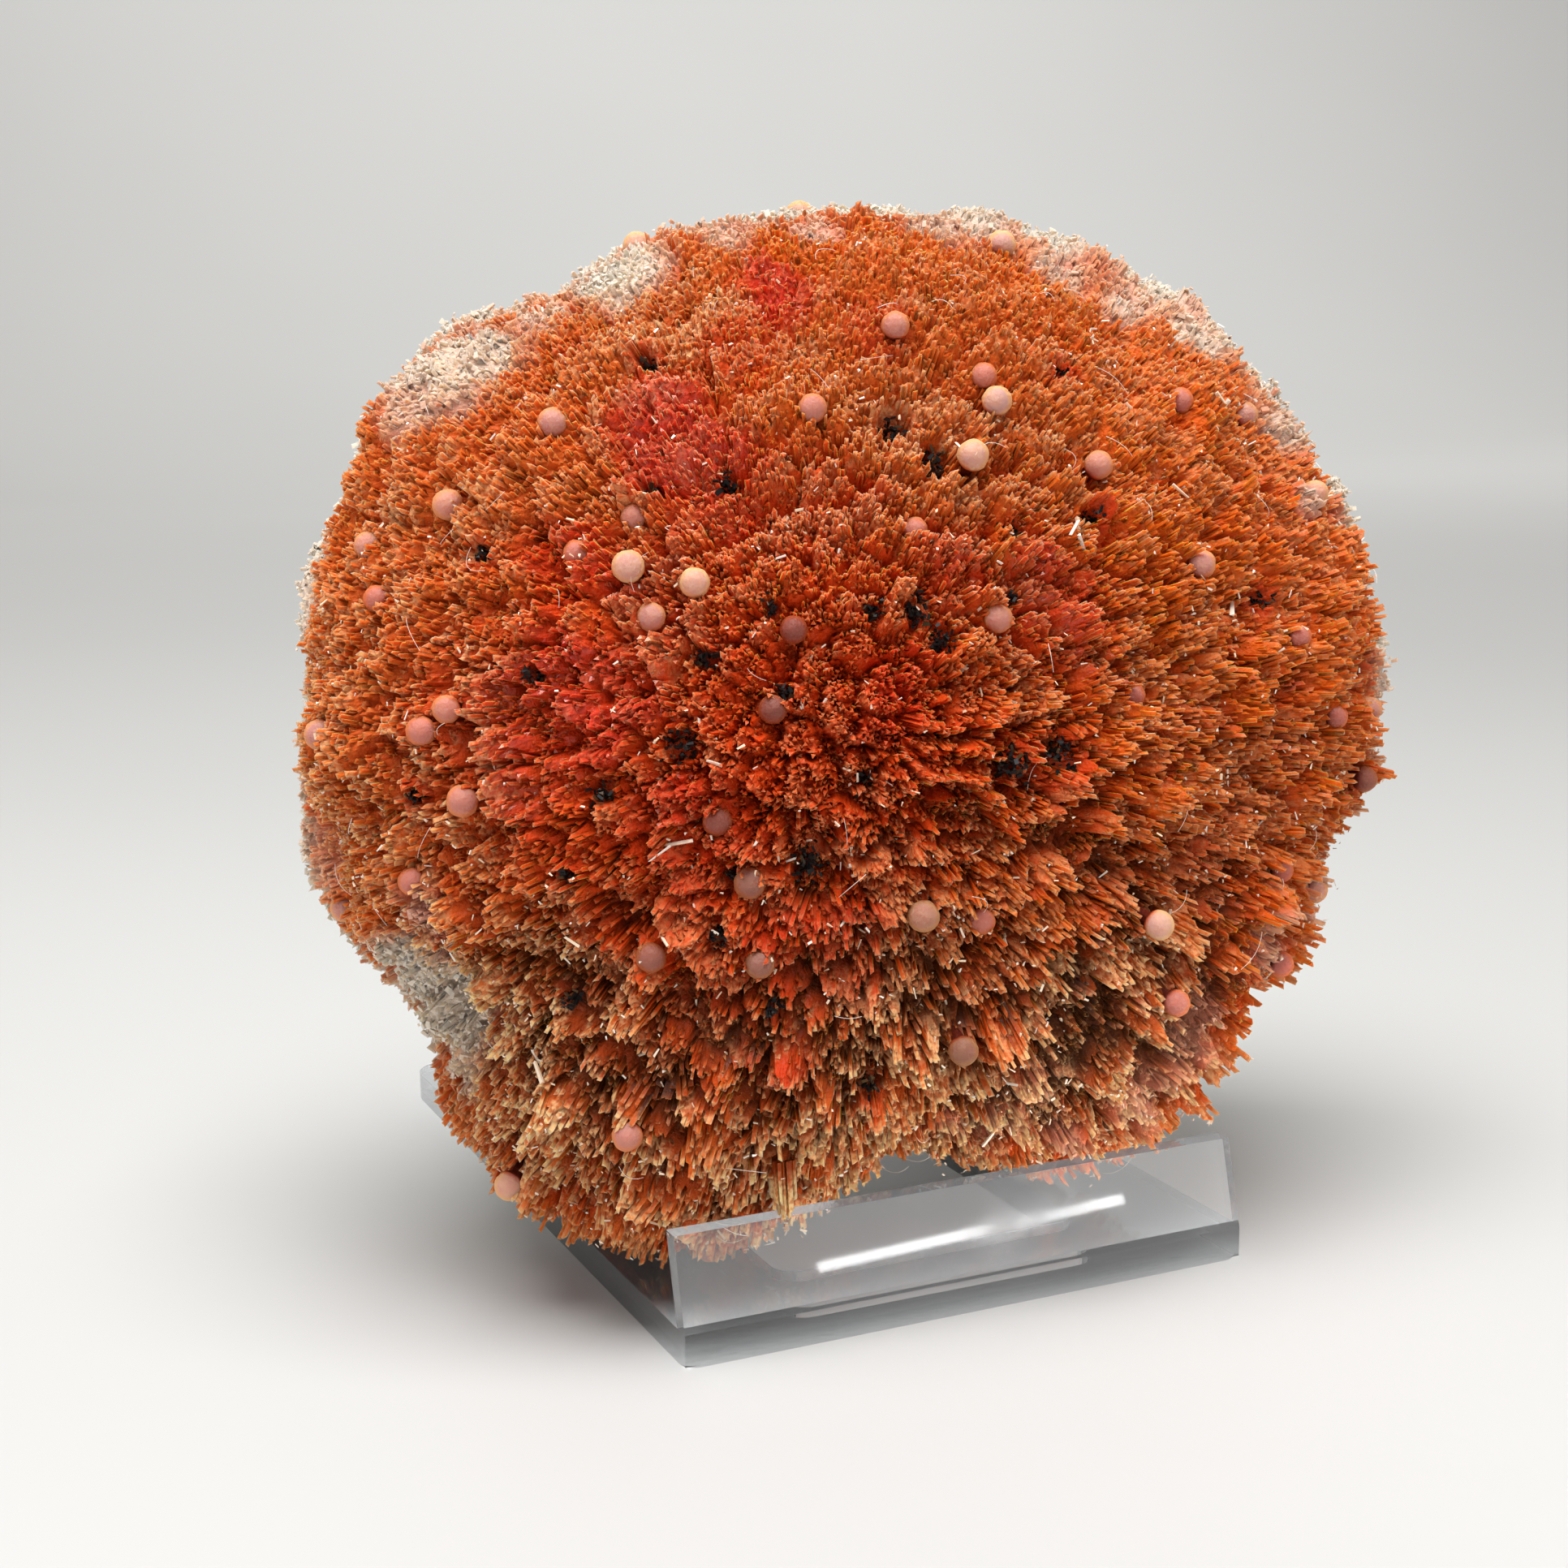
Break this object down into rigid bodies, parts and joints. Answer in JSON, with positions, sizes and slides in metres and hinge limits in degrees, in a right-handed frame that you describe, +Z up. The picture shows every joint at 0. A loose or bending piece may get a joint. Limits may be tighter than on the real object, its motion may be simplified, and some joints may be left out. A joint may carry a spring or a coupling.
{
  "type": "scolecite disk",
  "caption": "Domed disk of radiating scolecite crystals leaning in a clear moulded display stand with a front lip.",
  "frame": {"origin": "middle of the footprint of disk and stand together, on the surface that the stand rests on", "axes": "+Z up, -Y towards the stand's lip, which is the front, +X to the right seen from the front"},
  "size_m": [0.1464, 0.1234, 0.1326],
  "materials": {
    "scolecite": "natural crystal needles, satin and slightly translucent, orange with a pale rim",
    "clear_plastic": "clear, polished"
  },
  "bodies": {
    "root": {"scolecite_disk": "scolecite", "stand": "clear_plastic"}
  },
  "joints": []
}
